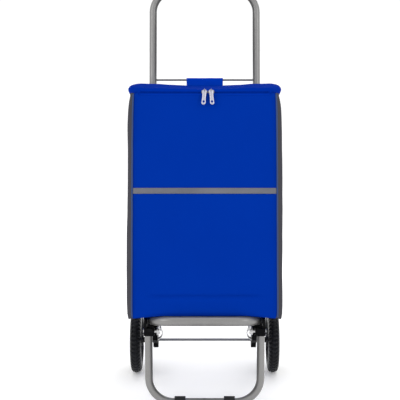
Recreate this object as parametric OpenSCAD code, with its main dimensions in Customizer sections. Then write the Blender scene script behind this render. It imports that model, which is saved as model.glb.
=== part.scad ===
// Folding shopping trolley: a soft bag on a leaning tube frame with two wheels, a platform and a front leg.
// The platform and the leg fold up against the frame on a parallel linkage. The front faces -Y.

/* [Frame] */
// Lean of the frame back from upright, in degrees
lean = 12.2; // [11:0.2:13]
// Distance of the frame line ahead of the axle, measured at floor level
frame_ahead = 128.7; // [124:0.1:134]
// Height of the handle's top tube above the floor, along the frame
handle_reach = 982; // [900:1:1050]
// Half of the distance between the two frame tubes
frame_half = 128.2; // [124:0.1:132]
// Outside diameter of the frame tube
frame_tube = 18; // [16:0.5:20]
// Centreline radius of the handle's two bends
handle_bend = 54; // [45:1:70]
// Wall of all tubes
wall = 1.2; // [0.8:0.1:2]

/* [Wheels] */
// Outside diameter of a wheel
wheel_d = 165; // [160:1:170]
// Width of a tyre
tyre_w = 28; // [22:1:30]
// Half of the distance between the tyres' outer faces
track_half = 187; // [184:1:192]
// Diameter of the axle
axle_d = 7; // [6:0.5:8]

/* [Platform and leg] */
// Height of the platform plane along the frame
platform_level = 175; // [172:1:180]
// Depth of the platform from the frame line to its front tube's centre
platform_depth = 195; // [190:1:205]
// Outside diameter of the platform tube
platform_tube = 22; // [20:0.5:24]
// Half of the distance between the platform's two arms
arm_half = 121; // [119:0.5:123]
// Distance of the leg's axis ahead of the axle
leg_ahead = 260; // [256:1:264]
// Half of the distance between the leg's two uprights
leg_half = 128.3; // [127:0.1:130]
// Centreline radius of the leg's two bends
leg_bend = 57; // [50:1:62]

/* [Bag] */
// Width of the front panel
panel_w = 324; // [300:1:330]
// Depth of the bag from back panel to front panel
bag_depth = 186; // [170:1:190]
// Height of the lid's top above the floor
lid_top = 731; // [700:1:745]
// Thickness of the bag's cloth with its lining
cloth = 2.4; // [2:0.2:3]

/* [Hidden] */
$fn = 48;

wheel_r = wheel_d / 2;
axle_r = axle_d / 2;
tube_r = frame_tube / 2;
arm_r = platform_tube / 2;
running = 0.05;
gap = 0.3;
over = 1;

// The origin is the middle of the trolley's footprint, so the axle lies behind it.
axle_y = 100.2;
frame_foot = axle_y - frame_ahead;
wheel_x = track_half - tyre_w / 2;

// Positions in the leaning frame are [ahead of the frame line, up the frame].
function level_y(ahead, up) = frame_foot - ahead * cos(lean) + up * sin(lean);
function level_z(ahead, up) = ahead * sin(lean) + up * cos(lean);

// Platform pivot and leg pivot, and the step from each to the link's parallel pivot.
pivot_ahead = 42;
link_length = 104.7;
pin_r = 4;
pivot_y = level_y(pivot_ahead, platform_level);
pivot_z = level_z(pivot_ahead, platform_level);
knee_y = level_y(pivot_ahead + link_length, platform_level);
knee_z = level_z(pivot_ahead + link_length, platform_level);
leg_y = axle_y - leg_ahead;
step_y = leg_y - knee_y;
step_z = -20;
link_pin_r = 3;
link_x = 107.6;
link_t = 3;

// Bag outline in the leaning frame.
back_ahead = 12;
front_ahead = back_ahead + bag_depth;
bag_floor = platform_level + arm_r + gap;
side_r = 240;
side_front_x = panel_w / 2;
side_back_x = side_front_x + 5;
side_mid_x = (side_front_x + side_back_x) / 2;
chord = sqrt(pow(bag_depth, 2) + pow(side_back_x - side_front_x, 2));
side_drop = sqrt(pow(side_r, 2) - pow(chord / 2, 2));
side_centre_x = side_mid_x - side_drop * bag_depth / chord;
side_centre_ahead = (back_ahead + front_ahead) / 2 - side_drop * (side_back_x - side_front_x) / chord;
lid_skirt = 12;
lid_wall = 2.4;
lid_overlap = 2.5;
bag_rim = lid_top - lid_skirt - gap;

steel = [0.62, 0.61, 0.60];
zinc = [0.80, 0.80, 0.80];
black = [0.06, 0.06, 0.065];
blue = [0.01, 0.20, 0.64];
grey_cloth = [0.34, 0.33, 0.34];

// Turns a shape drawn as x, -ahead, up into the leaning frame.
module leaned() {
    translate([0, frame_foot, 0]) rotate([-lean, 0, 0]) children();
}

module both_sides() {
    children();
    mirror([1, 0, 0]) children();
}

// A side that is 1 for the right and -1 for the left.
module on_side(side) {
    if (side > 0) children();
    else mirror([1, 0, 0]) children();
}

// A rod along X from one x to another, at a given y and z.
module cross_pin(x0, x1, y, z, r) {
    translate([x0, y, z]) rotate([0, 90, 0]) cylinder(h = x1 - x0, r = r);
}

// A plate across X drawn in y, z.
module plate_x(x0, x1) {
    translate([x0, 0, 0]) rotate([90, 0, 90]) linear_extrude(x1 - x0) children();
}

// A straight strip with round ends between two points. Its straight edges sit a hair inside the round ends.
module strap(a, b, r) {
    span = norm(b - a);
    turn = atan2(b[1] - a[1], b[0] - a[0]);
    waist = r - 0.05;
    translate(a) circle(r);
    translate(b) circle(r);
    translate(a) rotate(turn) translate([0, -waist]) square([span, 2 * waist]);
}

// Solid U of round bar in the XZ plane: two uprights at +-half, joined across at z = top by two bends.
module u_bar(r, half, bend, foot, top) {
    both_sides() {
        translate([half, 0, foot]) cylinder(h = top - bend - foot, r = r);
        translate([half - bend, 0, top - bend]) rotate([90, 0, 0]) rotate_extrude(angle = 90)
            translate([bend, 0]) circle(r);
        translate([-0.01, 0, top]) rotate([0, 90, 0]) cylinder(h = half - bend + 0.01, r = r);
    }
}

// Hollow U tube with open ends.
module u_tube(r, half, bend, foot, top) {
    difference() {
        u_bar(r, half, bend, foot, top);
        u_bar(r - wall, half, bend, foot - over, top);
    }
}

// ---- frame ---------------------------------------------------------------------------------------

tube_foot_up = 122;

module handle_tube() {
    color(steel) leaned() u_tube(tube_r, frame_half, handle_bend, tube_foot_up, handle_reach);
}

grip_length = 132;
grip_r = 13;
grip_groove = 1.2;
grip_rings = 7;

module grip() {
    pitch = grip_length / (grip_rings + 1);
    color(black) leaned() difference() {
        translate([-grip_length / 2, 0, handle_reach]) rotate([0, 90, 0])
            cylinder(h = grip_length, r = grip_r);
        translate([-grip_length / 2 - over, 0, handle_reach]) rotate([0, 90, 0])
            cylinder(h = grip_length + 2 * over, r = tube_r);
        for (i = [1 : grip_rings]) {
            translate([-grip_length / 2 + i * pitch, 0, handle_reach]) rotate([0, 90, 0])
                rotate_extrude() translate([grip_r, 0]) circle(grip_groove, $fn = 24);
        }
    }
}

hook_up = 758;
hook_r = 2.5;

module hook_rod() {
    reach = frame_half - tube_r * 0.6;
    color(steel) leaned() difference() {
        translate([-reach, 0, hook_up]) rotate([0, 90, 0]) cylinder(h = 2 * reach, r = hook_r);
        both_sides() translate([frame_half, 0, hook_up - 20]) cylinder(h = 40, r = tube_r);
    }
}

// The black side moulding: a socket for the frame tube, an ear outside the platform arm, a lug for the link
// and an arm back to the axle.
block_x0 = 115;
block_x1 = 141.5;
block_front = 11.4;
block_back = -13.5;
block_foot = 116;
block_head = 214;
ear_r = 10.8;
ear_x0 = arm_half + arm_r + 0.4;
ear_x1 = 138.4;
lug_x1 = 116;
lug_x0 = link_x + link_t / 2 + gap;
lug_r = 7;
lug_root_y = -0.6;
lug_root_z = 136;
boss_x0 = 118;
boss_x1 = 130.5;
boss_r = 20;

module moulding_block() {
    depth = block_front - block_back;
    leaned() translate([0, -block_front, block_foot]) linear_extrude(block_head - block_foot) {
        translate([block_x0 + 4, 0]) square([block_x1 - block_x0 - 8, depth]);
        translate([block_x0, 4]) square([block_x1 - block_x0, depth - 8]);
        for (x = [block_x0 + 4, block_x1 - 4], y = [4, depth - 4]) translate([x, y]) circle(4);
    }
}

module pivot_ear() {
    root_y = level_y(0, platform_level - 12);
    root_z = level_z(0, platform_level - 12);
    plate_x(ear_x0, ear_x1) strap([root_y, root_z], [pivot_y, pivot_z], ear_r);
}

module link_lug() {
    plate_x(lug_x0, lug_x1 + 3) strap([lug_root_y, lug_root_z], [pivot_y + step_y, pivot_z + step_z], lug_r);
}

module axle_arm() {
    root_y = level_y(-2, 140);
    root_z = level_z(-2, 140);
    plate_x(boss_x0, boss_x1) {
        translate([axle_y, wheel_r]) circle(boss_r);
        strap([root_y, root_z], [axle_y, wheel_r], 13);
        strap([root_y, root_z + 34], [axle_y + 2, wheel_r + 6], 5);
    }
}

module side_moulding(side) {
    color(black) on_side(side) difference() {
        union() {
            moulding_block();
            pivot_ear();
            link_lug();
            axle_arm();
        }
        leaned() translate([frame_half, 0, tube_foot_up]) cylinder(h = 200, r = tube_r);
        cross_pin(90, 160, axle_y, wheel_r, axle_r);
        cross_pin(90, 160, pivot_y, pivot_z, pin_r);
        cross_pin(90, lug_x1 + 12, pivot_y + step_y, pivot_z + step_z, link_pin_r);
        for (up = rivet_ups) cross_pin(100, 160, level_y(0, up), level_z(0, up), rivet_r);
    }
}

rivet_ups = [127, 202];
rivet_r = 2.5;
rivet_head_r = 4.5;
rivet_head = 1.6;

// A rivet across a frame tube, cut away where the tube's wall is.
module moulding_rivet(up) {
    y = level_y(0, up);
    z = level_z(0, up);
    difference() {
        union() {
            cross_pin(block_x0 - rivet_head, block_x1 + rivet_head, y, z, rivet_r);
            cross_pin(block_x0 - rivet_head, block_x0, y, z, rivet_head_r);
            cross_pin(block_x1, block_x1 + rivet_head, y, z, rivet_head_r);
        }
        leaned() translate([frame_half, 0, up - 20]) difference() {
            cylinder(h = 40, r = tube_r);
            translate([0, 0, -over]) cylinder(h = 42, r = tube_r - wall);
        }
    }
}

// Two rivets a side hold the frame tube in its moulding.
module moulding_rivets() {
    color(zinc) both_sides() for (up = rivet_ups) moulding_rivet(up);
}

stay_ahead_of_axle = 60;
stay_w = 16;
stay_t = 2.2;
stay_r = 18;
stay_x = 122;
stay_z = 119;

// Galvanised strap bowed inwards, which braces the axle arm's two bars.
module axle_stay(side) {
    color(zinc) on_side(side) translate([stay_x, axle_y - stay_ahead_of_axle + stay_w / 2, stay_z])
        rotate([90, 0, 0]) linear_extrude(stay_w) difference() {
            circle(stay_r);
            circle(stay_r - stay_t);
            translate([boss_x0 - stay_x, -stay_r]) square(2 * stay_r);
        }
}

// ---- axle and wheels -----------------------------------------------------------------------------

hub_x0 = track_half - tyre_w - 3;
hub_x1 = track_half - 3;
cap_x1 = track_half - 0.5;
washer_gap = 0.25;

module axle() {
    color(zinc) cross_pin(-hub_x1 - 2, hub_x1 + 2, axle_y, wheel_r, axle_r);
}

module axle_spacers() {
    color(black) both_sides() difference() {
        cross_pin(boss_x1, hub_x0 - washer_gap, axle_y, wheel_r, 7);
        cross_pin(boss_x1 - over, hub_x0, axle_y, wheel_r, axle_r);
    }
}

module push_caps() {
    color(zinc) both_sides() difference() {
        cross_pin(hub_x1 + washer_gap, cap_x1, axle_y, wheel_r, 8);
        cross_pin(hub_x1 - over, hub_x1 + 2, axle_y, wheel_r, axle_r);
    }
}

rim_r = 58;
rim_bed = 52;
hub_r = 15;
spokes = 6;
spoke_w = 13;

// Rubber tyre with a rounded tread, seated on the rim.
module tyre(side) {
    crown = 11;
    color(black) translate([side * wheel_x, axle_y, wheel_r]) rotate([0, 90, 0])
        rotate_extrude($fn = 96) difference() {
        union() {
            translate([rim_r, -tyre_w / 2]) square([wheel_r - rim_r - crown, tyre_w]);
            translate([rim_r, -tyre_w / 2 + crown]) square([wheel_r - rim_r, tyre_w - 2 * crown]);
            for (x = [-1, 1]) translate([wheel_r - crown, x * (tyre_w / 2 - crown)]) circle(crown);
        }
        translate([0, -tyre_w]) square([rim_r, 2 * tyre_w]);
    }
}

// Moulded plastic rim with six spokes round a plain hub.
module rim(side) {
    color([0.10, 0.10, 0.11]) translate([side * wheel_x, axle_y, wheel_r]) rotate([0, 90, 0]) difference() {
        union() {
            translate([0, 0, -tyre_w / 2 + 3]) difference() {
                cylinder(h = tyre_w - 6, r = rim_r, $fn = 96);
                translate([0, 0, -over]) cylinder(h = tyre_w, r = rim_bed, $fn = 96);
            }
            translate([0, 0, side > 0 ? -tyre_w / 2 - 3 : -tyre_w / 2 + 3]) cylinder(h = tyre_w, r = hub_r);
            for (i = [0 : spokes - 1]) rotate(i * 360 / spokes) translate([hub_r - 2, -spoke_w / 2, -5])
                cube([rim_bed - hub_r + 4, spoke_w, 10]);
        }
        translate([0, 0, -tyre_w]) cylinder(h = 2 * tyre_w, r = axle_r + running);
    }
}

// ---- platform ------------------------------------------------------------------------------------

arm_tail = 14;
platform_bend = 50;

// The U-shaped platform tube lies square to the frame, with its open ends at the pivots.
module platform_arms() {
    color(steel) leaned() translate([0, 0, platform_level]) rotate([90, 0, 0]) difference() {
        u_tube(arm_r, arm_half, platform_bend, pivot_ahead - arm_tail, platform_depth);
        for (up = [pivot_ahead, pivot_ahead + link_length]) translate([-200, 0, up]) rotate([0, 90, 0])
            cylinder(h = 400, r = pin_r + running);
        for (up = wire_ahead) translate([-arm_half, 0, up]) rotate([0, 90, 0])
            cylinder(h = 2 * arm_half, r = wire_r);
    }
}

module arm_plugs() {
    color(black) leaned() translate([0, 0, platform_level]) both_sides()
        translate([arm_half, -(pivot_ahead - arm_tail), 0]) rotate([90, 0, 0]) {
            cylinder(h = 5, r = arm_r - wall);
            translate([0, 0, -2]) cylinder(h = 2, r = arm_r);
        }
}

wire_r = 2.5;
wire_ahead = [78, 118];

// Two cross wires carry the bag's floor between the arms.
module platform_wires() {
    reach = arm_half - 4;
    color(zinc) leaned() for (up = wire_ahead) translate([-reach, -up, platform_level]) rotate([0, 90, 0])
        cylinder(h = 2 * reach, r = wire_r);
}

board_t = 4;
board_back_ahead = 17;
board_up = bag_floor + cloth + gap;

// Stiff board that lies on the bag's floor and hinges up along its rear edge.
module base_board() {
    w = panel_w - 24;
    depth = front_ahead - 8 - board_back_ahead;
    color([0.16, 0.16, 0.17]) leaned() translate([0, 0, board_up]) {
        translate([-w / 2, -board_back_ahead - depth, 0]) cube([w, depth, board_t]);
        translate([-w / 2, -board_back_ahead, board_t / 2]) rotate([0, 90, 0])
            cylinder(h = w, r = board_t / 2);
    }
}

// ---- leg -----------------------------------------------------------------------------------------

leg_top = 189;
leg_low = 13.5;
sleeve_foot = 174;
sleeve_head = 191;
cheek_head = 214;
sleeve_half = 12;
sleeve_x0 = 115.2;
sleeve_x1 = 139;

module leg_tube() {
    color(steel) translate([0, leg_y, 0]) mirror([0, 0, 1])
        u_tube(tube_r, leg_half, leg_bend, -leg_top, -leg_low);
}

// The black bracket: a sleeve round the leg tube, and an ear that reaches up outside the platform arm.
module leg_bracket(side) {
    color(black) on_side(side) difference() {
        union() {
            translate([0, leg_y, sleeve_foot]) linear_extrude(sleeve_head - sleeve_foot) {
                translate([sleeve_x0, -sleeve_half + 5])
                    square([sleeve_x1 - sleeve_x0, 2 * sleeve_half - 10]);
                translate([sleeve_x0 + 5, -sleeve_half])
                    square([sleeve_x1 - sleeve_x0 - 10, 2 * sleeve_half]);
                for (x = [sleeve_x0 + 5, sleeve_x1 - 5], y = [-1, 1])
                    translate([x, y * (sleeve_half - 5)]) circle(5);
            }
            plate_x(ear_x0, ear_x1) {
                strap([leg_y + 1, sleeve_head - 8], [knee_y, knee_z], 11);
                strap([leg_y + 1, sleeve_foot + 11], [leg_y + 1, cheek_head - 11], 11);
            }
        }
        translate([leg_half, leg_y, 0]) cylinder(h = leg_top, r = tube_r);
        cross_pin(100, 160, knee_y, knee_z, pin_r);
        cross_pin(100, leg_half - 5, leg_y, knee_z + step_z, link_pin_r);
        cross_pin(leg_half, 160, leg_y, bracket_rivet_z, rivet_r);
    }
}

bracket_rivet_z = 184;

module bracket_rivets() {
    color(zinc) both_sides() difference() {
        union() {
            cross_pin(leg_half + tube_r - wall - 3, sleeve_x1 + rivet_head, leg_y, bracket_rivet_z, rivet_r);
            cross_pin(sleeve_x1, sleeve_x1 + rivet_head, leg_y, bracket_rivet_z, rivet_head_r);
        }
        translate([leg_half, leg_y, 0]) difference() {
            cylinder(h = leg_top, r = tube_r);
            cylinder(h = leg_top, r = tube_r - wall);
        }
    }
}

// ---- pivots and links ----------------------------------------------------------------------------

head_r = 6.5;
head_t = 2;

// Platform pivot pins, fast in the mouldings.
module platform_pins() {
    x0 = arm_half - arm_r - 0.4;
    x1 = ear_x1;
    color(zinc) both_sides() {
        cross_pin(x0 - head_t, x1 + head_t, pivot_y, pivot_z, pin_r);
        cross_pin(x0 - head_t, x0, pivot_y, pivot_z, head_r);
        cross_pin(x1, x1 + head_t, pivot_y, pivot_z, head_r);
    }
}

// Leg pivot pins, fast in the brackets' ears.
module leg_pins() {
    x0 = arm_half - arm_r - 1.4;
    x1 = ear_x1;
    color(zinc) both_sides() {
        cross_pin(x0 - head_t, x1 + head_t, knee_y, knee_z, pin_r);
        cross_pin(x0 - head_t, x0, knee_y, knee_z, head_r);
        cross_pin(x1, x1 + head_t, knee_y, knee_z, head_r);
    }
}

module link_pins(y, z, x1) {
    x0 = link_x - link_t / 2 - gap;
    color(zinc) both_sides() {
        cross_pin(x0 - head_t, x1, y, z, link_pin_r);
        cross_pin(x0 - head_t, x0, y, z, head_r);
    }
}

module link_pins_rear() link_pins(pivot_y + step_y, pivot_z + step_z, lug_x1 + 2);

module link_pins_front() link_pins(leg_y, knee_z + step_z, leg_half - tube_r);

// A flat galvanised link joins the moulding's lug to the leg's bracket, parallel to the platform arm.
module link(side) {
    a = [pivot_y + step_y, pivot_z + step_z];
    b = [leg_y, knee_z + step_z];
    color(zinc) on_side(side) difference() {
        plate_x(link_x - link_t / 2, link_x + link_t / 2) strap(a, b, 8.5);
        cross_pin(90, 130, a[0], a[1], link_pin_r + running);
        cross_pin(90, 130, b[0], b[1], link_pin_r + 0.4);
    }
}

// ---- feet ----------------------------------------------------------------------------------------

foot_x = 57;
foot_w = 25;
foot_wall = 4.2;

// Rubber shoe round the leg's bottom tube, flat below.
module foot(side) {
    color(black) translate([side * foot_x - foot_w / 2, leg_y, leg_low]) rotate([90, 0, 90]) difference() {
        linear_extrude(foot_w) {
            intersection() {
                circle(tube_r + foot_wall);
                translate([-50, 0]) square(100);
            }
            translate([-tube_r - foot_wall, -leg_low]) square([2 * (tube_r + foot_wall), leg_low + 0.01]);
        }
        translate([0, 0, -over]) cylinder(h = foot_w + 2 * over, r = tube_r);
    }
}

// ---- bag -----------------------------------------------------------------------------------------

bag_head = 760;

// Keeps what lies below the level rim.
module below_rim() {
    intersection() {
        children();
        translate([-300, -400, -50]) cube([600, 800, bag_rim + 50]);
    }
}

module side_outline(inset) {
    translate([side_centre_x, -side_centre_ahead]) circle(side_r - inset, $fn = 180);
}

// One bowed side of grey cloth, from the back panel to the front panel.
module bag_side(side) {
    color(grey_cloth) on_side(side) below_rim() leaned() translate([0, 0, bag_floor])
        linear_extrude(bag_head - bag_floor) intersection() {
            difference() {
                side_outline(0);
                side_outline(cloth);
            }
            translate([100, -front_ahead + cloth]) square([200, bag_depth - 2 * cloth]);
        }
}

module bag_panel(ahead, half) {
    color(blue) below_rim() leaned() translate([-half, -ahead, bag_floor])
        cube([2 * half, cloth, bag_head - bag_floor]);
}

module bag_front() bag_panel(front_ahead, side_front_x);

hem_half = side_back_x - 4;
hem_foot = 600;

// The back panel rises above the rim to the underside of the lid, to which it is sewn.
module bag_back() {
    bag_panel(back_ahead + cloth, side_back_x);
    color(blue) intersection() {
        leaned() translate([-hem_half, -back_ahead - cloth, hem_foot])
            cube([2 * hem_half, cloth, bag_head - hem_foot]);
        translate([-300, -400, 0]) cube([600, 800, lid_top - lid_wall - gap]);
    }
}

module bag_bottom() {
    color(blue) leaned() translate([0, 0, bag_floor]) linear_extrude(cloth) intersection() {
        side_outline(cloth + 0.1);
        mirror([1, 0]) side_outline(cloth + 0.1);
        translate([-300, -front_ahead + cloth]) square([600, bag_depth - 2 * cloth]);
    }
}

piping_r = 2;

// Corded edge between the front panel and the grey side.
module piping(side) {
    color([0.38, 0.39, 0.45]) below_rim() leaned()
        translate([side * (side_front_x + piping_r + 0.1), -front_ahead - piping_r * 0.1, bag_floor])
            cylinder(h = bag_head - bag_floor, r = piping_r);
}

strip_up = 470;
strip_h = 13.5;

module reflective_strip() {
    color([0.51, 0.51, 0.54]) leaned() translate([-side_front_x, -front_ahead - 0.8, strip_up - strip_h / 2])
        cube([2 * side_front_x, 0.8, strip_h]);
}

loop_w = 92;
loop_t = 2.2;

// Cloth loop sewn to the back panel that hangs the bag on the hook rod.
module hanging_loop() {
    r0 = hook_r + 0.4;
    r1 = r0 + loop_t;
    low = 60;
    color(blue) leaned() translate([-loop_w / 2, 0, hook_up]) rotate([90, 0, 90]) linear_extrude(loop_w)
        difference() {
            union() {
                circle(r1);
                translate([-r1, -low]) square([2 * r1, low]);
            }
            circle(r0);
            translate([-r0, -low - over]) square([2 * r0, low + over]);
        }
}

// ---- lid and zip ---------------------------------------------------------------------------------

lid_back_ahead = 13;

// Outline of the bag from above, grown by a margin, in level x, y.
module lid_outline(grow, rear) {
    y_rear = level_y(rear, (lid_top - rear * sin(lean)) / cos(lean));
    y_front = level_y(front_ahead, (bag_rim - front_ahead * sin(lean)) / cos(lean)) - grow;
    mid = level_y(side_centre_ahead, (lid_top - side_centre_ahead * sin(lean)) / cos(lean));
    intersection() {
        translate([side_centre_x, mid]) circle(side_r + grow, $fn = 180);
        mirror([1, 0]) translate([side_centre_x, mid]) circle(side_r + grow, $fn = 180);
        translate([-300, y_front]) square([600, y_rear - y_front]);
    }
}

// Soft lid with a short skirt on the front and sides, hinged along the rear edge.
module lid() {
    color(blue) difference() {
        translate([0, 0, lid_top - lid_skirt]) linear_extrude(lid_skirt)
            lid_outline(lid_overlap, lid_back_ahead);
        translate([0, 0, lid_top - lid_skirt - over]) linear_extrude(lid_skirt + over - lid_wall)
            lid_outline(lid_overlap - lid_wall, lid_back_ahead);
    }
}

zip_drop = 6;
zip_t = 1.6;
zip_half = 150;
zip_top = (bag_rim - front_ahead * sin(lean)) / cos(lean) - 0.5;
slider_mid = 7.1;
slider_x = 7.6;
slider_w = 12.5;
slider_ahead = front_ahead + lid_overlap + 1.4;
slider_t = 3.2;
slider_h = 11;
slider_up = zip_top - 4.5;
neck_w = 8;
neck_h = 3;

// Coil zip along the top of the front panel, just under the lid's skirt.
module zip_tape() {
    color([0.01, 0.12, 0.42]) leaned()
        translate([-zip_half, -front_ahead - zip_t - gap, zip_top - zip_drop])
            cube([2 * zip_half, zip_t, zip_drop]);
}

// Slider body lying along the zip, with a neck that reaches back to the tape under the skirt.
module zip_slider(side) {
    x = slider_mid + side * slider_x;
    back = front_ahead + zip_t + 2 * gap;
    color([0.75, 0.75, 0.76]) leaned() translate([x, -slider_ahead - slider_t, slider_up]) {
        translate([-slider_w / 2, 0, 0]) cube([slider_w, slider_t, slider_h]);
        translate([-neck_w / 2, 0, 0]) cube([neck_w, slider_ahead + slider_t - back, neck_h]);
    }
}

pull_reach = 24;
pull_r = 5.5;
pull_t = 1.8;
pull_hole_r = 2.2;
pull_tilt = 5;
barrel_r = 1.1;
barrel_w = 5;
barrel_up = 4.5;
pull_ahead = slider_ahead + slider_t + gap;
pull_up = slider_up + 8;

// Flat pull tab that hangs by the barrel at its head, turned a little outwards.
module zip_pull(side) {
    color([0.80, 0.80, 0.82]) leaned() translate([slider_mid + side * slider_x, -pull_ahead, pull_up]) {
        rotate([90, 0, 0]) rotate(side * pull_tilt) linear_extrude(pull_t) difference() {
            strap([0, 0], [0, -pull_reach], pull_r);
            translate([0, -pull_reach]) circle(pull_hole_r);
        }
        translate([-barrel_w / 2, -pull_t / 2, barrel_up]) rotate([0, 90, 0])
            cylinder(h = barrel_w, r = barrel_r);
    }
}

handle_tube();
grip();
hook_rod();
side_moulding(-1);  // side_moulding_l
side_moulding(1);  // side_moulding_r
moulding_rivets();
axle_stay(-1);  // axle_stay_l
axle_stay(1);  // axle_stay_r
axle();
axle_spacers();
push_caps();
platform_pins();
link_pins_rear();
bag_back();
bag_side(-1);  // bag_side_l
bag_side(1);  // bag_side_r
bag_front();
bag_bottom();
piping(-1);  // piping_l
piping(1);  // piping_r
reflective_strip();
hanging_loop();
platform_arms();
arm_plugs();
platform_wires();
base_board();
leg_tube();
leg_bracket(-1);  // leg_bracket_l
leg_bracket(1);  // leg_bracket_r
bracket_rivets();
leg_pins();
link_pins_front();
foot(-1);  // foot_l
foot(1);  // foot_r
link(-1);  // link_l
link(1);  // link_r
tyre(-1);  // tyre_l
rim(-1);  // rim_l
tyre(1);  // tyre_r
rim(1);  // rim_r
lid();
zip_tape();
zip_slider(-1);  // zip_slider_l
zip_slider(1);  // zip_slider_r
zip_pull(-1);  // zip_pull_l
zip_pull(1);  // zip_pull_r
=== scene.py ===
"""Folding shopping trolley: cloth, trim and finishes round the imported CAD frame. All sizes in metres."""
import math

import bpy
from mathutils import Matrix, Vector, noise


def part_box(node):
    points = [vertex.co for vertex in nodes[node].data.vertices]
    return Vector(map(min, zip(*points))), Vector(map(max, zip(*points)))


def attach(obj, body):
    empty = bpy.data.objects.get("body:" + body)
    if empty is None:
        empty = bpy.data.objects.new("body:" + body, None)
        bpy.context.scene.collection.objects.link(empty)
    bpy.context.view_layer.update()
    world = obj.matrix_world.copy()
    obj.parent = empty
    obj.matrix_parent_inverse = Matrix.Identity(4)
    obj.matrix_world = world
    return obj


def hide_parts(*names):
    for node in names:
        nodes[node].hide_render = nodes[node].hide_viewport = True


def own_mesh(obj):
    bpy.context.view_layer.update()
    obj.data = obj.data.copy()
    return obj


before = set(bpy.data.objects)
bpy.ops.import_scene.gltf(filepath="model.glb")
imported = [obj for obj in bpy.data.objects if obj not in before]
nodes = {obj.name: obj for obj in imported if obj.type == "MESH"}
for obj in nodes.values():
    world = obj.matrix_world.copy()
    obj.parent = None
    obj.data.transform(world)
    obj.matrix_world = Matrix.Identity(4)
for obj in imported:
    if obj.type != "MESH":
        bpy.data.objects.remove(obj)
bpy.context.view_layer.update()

# ---- driving sizes, as the CAD has them ----------------------------------------------------------

LEAN = math.radians(12.2)
FRAME_AHEAD = 0.1287
BACK_AHEAD = 0.012
BAG_DEPTH = 0.186
FRONT_AHEAD = BACK_AHEAD + BAG_DEPTH
PANEL_HALF = 0.162
SIDE_R = 0.240
BACK_HALF = PANEL_HALF + 0.005
BAG_FLOOR_UP = 0.1863

tyre_low, tyre_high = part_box("tyre_l")
WHEEL_R = (tyre_high.z - tyre_low.z) / 2
AXLE_Y = (tyre_high.y + tyre_low.y) / 2
FOOT_Y = AXLE_Y - FRAME_AHEAD
LID_LOW, LID_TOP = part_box("lid")[0].z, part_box("lid")[1].z
RIM_Z = LID_LOW - 0.0003
SEWN_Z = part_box("bag_back")[1].z
FRONT_RISE = 0.0030

FORWARD = Vector((0, -math.cos(LEAN), math.sin(LEAN)))
UPWARD = Vector((0, math.sin(LEAN), math.cos(LEAN)))
SIDEWAYS = Vector((1, 0, 0))


def leaned(x, ahead, up):
    """A point x to the right, ahead of the frame line and up along it."""
    return Vector((x, FOOT_Y, 0)) + FORWARD * ahead + UPWARD * up


def up_at(z, ahead):
    """How far up the frame the height z is, at a given distance ahead."""
    return (z - ahead * math.sin(LEAN)) / math.cos(LEAN)


def smooth(a, b, t):
    t = min(1.0, max(0.0, (t - a) / (b - a)))
    return t * t * (3 - 2 * t)


def lerp(a, b, t):
    return a + (b - a) * t


def ripple(x, y, seed, octaves=3):
    """Smooth noise from about -1 to 1, the same in every run."""
    return noise.fractal(Vector((x, y, seed)), 1.0, 2.0, octaves)


# ---- mesh helpers --------------------------------------------------------------------------------


def make_mesh(name, verts, faces, mats, face_mats=None, uvs=None, smooth_shade=True):
    mesh = bpy.data.meshes.new(name)
    mesh.from_pydata([tuple(v) for v in verts], [], faces)
    for m in mats:
        mesh.materials.append(m)
    if face_mats:
        mesh.polygons.foreach_set("material_index", face_mats)
    if smooth_shade:
        mesh.polygons.foreach_set("use_smooth", [True] * len(mesh.polygons))
    if uvs:
        layer = mesh.uv_layers.new(name="cloth")
        for loop in mesh.loops:
            layer.data[loop.index].uv = uvs[loop.vertex_index]
    mesh.validate()
    mesh.update()
    obj = bpy.data.objects.new(name, mesh)
    bpy.context.scene.collection.objects.link(obj)
    return obj


def grid_faces(rows, cols, wrap_cols=False, wrap_rows=False):
    faces = []
    for r in range(rows if wrap_rows else rows - 1):
        for c in range(cols if wrap_cols else cols - 1):
            a, b = r * cols + c, r * cols + (c + 1) % cols
            d = ((r + 1) % rows) * cols + c
            e = ((r + 1) % rows) * cols + (c + 1) % cols
            faces.append((a, b, e, d))
    return faces


def sweep(name, points, section, mats, closed=False, caps=True, up=None):
    """Sweeps a closed section, given as (side, up) pairs, along points."""
    count = len(points)
    verts, uvs, run = [], [], 0.0
    side_old = None
    for i, p in enumerate(points):
        before = points[(i - 1) % count] if closed or i > 0 else points[i]
        after = points[(i + 1) % count] if closed or i < count - 1 else points[i]
        along = (after - before).normalized()
        ref = up or (side_old.cross(along) if side_old else Vector((0, 0, 1)))
        if abs(along.dot(ref)) > 0.98:
            ref = Vector((0, 1, 0)) if not up else ref
        side = along.cross(ref).normalized()
        top = side.cross(along).normalized()
        side_old = side
        run += (p - before).length
        for j, (s, t) in enumerate(section):
            verts.append(p + side * s + top * t)
            uvs.append((run, j * 0.002))
    faces = grid_faces(count, len(section), wrap_cols=True, wrap_rows=closed)
    if caps and not closed:
        n = len(section)
        faces.append(tuple(range(n - 1, -1, -1)))
        faces.append(tuple((count - 1) * n + j for j in range(n)))
    return make_mesh(name, verts, faces, mats, uvs=uvs)


def ring(radius, sides):
    return [(radius * math.cos(2 * math.pi * k / sides), radius * math.sin(2 * math.pi * k / sides))
            for k in range(sides)]


def slab(half_w, half_t, edge, steps=3):
    """Section of a flat band with rounded edges."""
    pts = []
    for cx, cy, start in ((half_w - edge, half_t - edge, 0), (-half_w + edge, half_t - edge, 90),
                          (-half_w + edge, -half_t + edge, 180), (half_w - edge, -half_t + edge, 270)):
        for k in range(steps + 1):
            a = math.radians(start + 90 * k / steps)
            pts.append((cx + edge * math.cos(a), cy + edge * math.sin(a)))
    return pts


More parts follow.
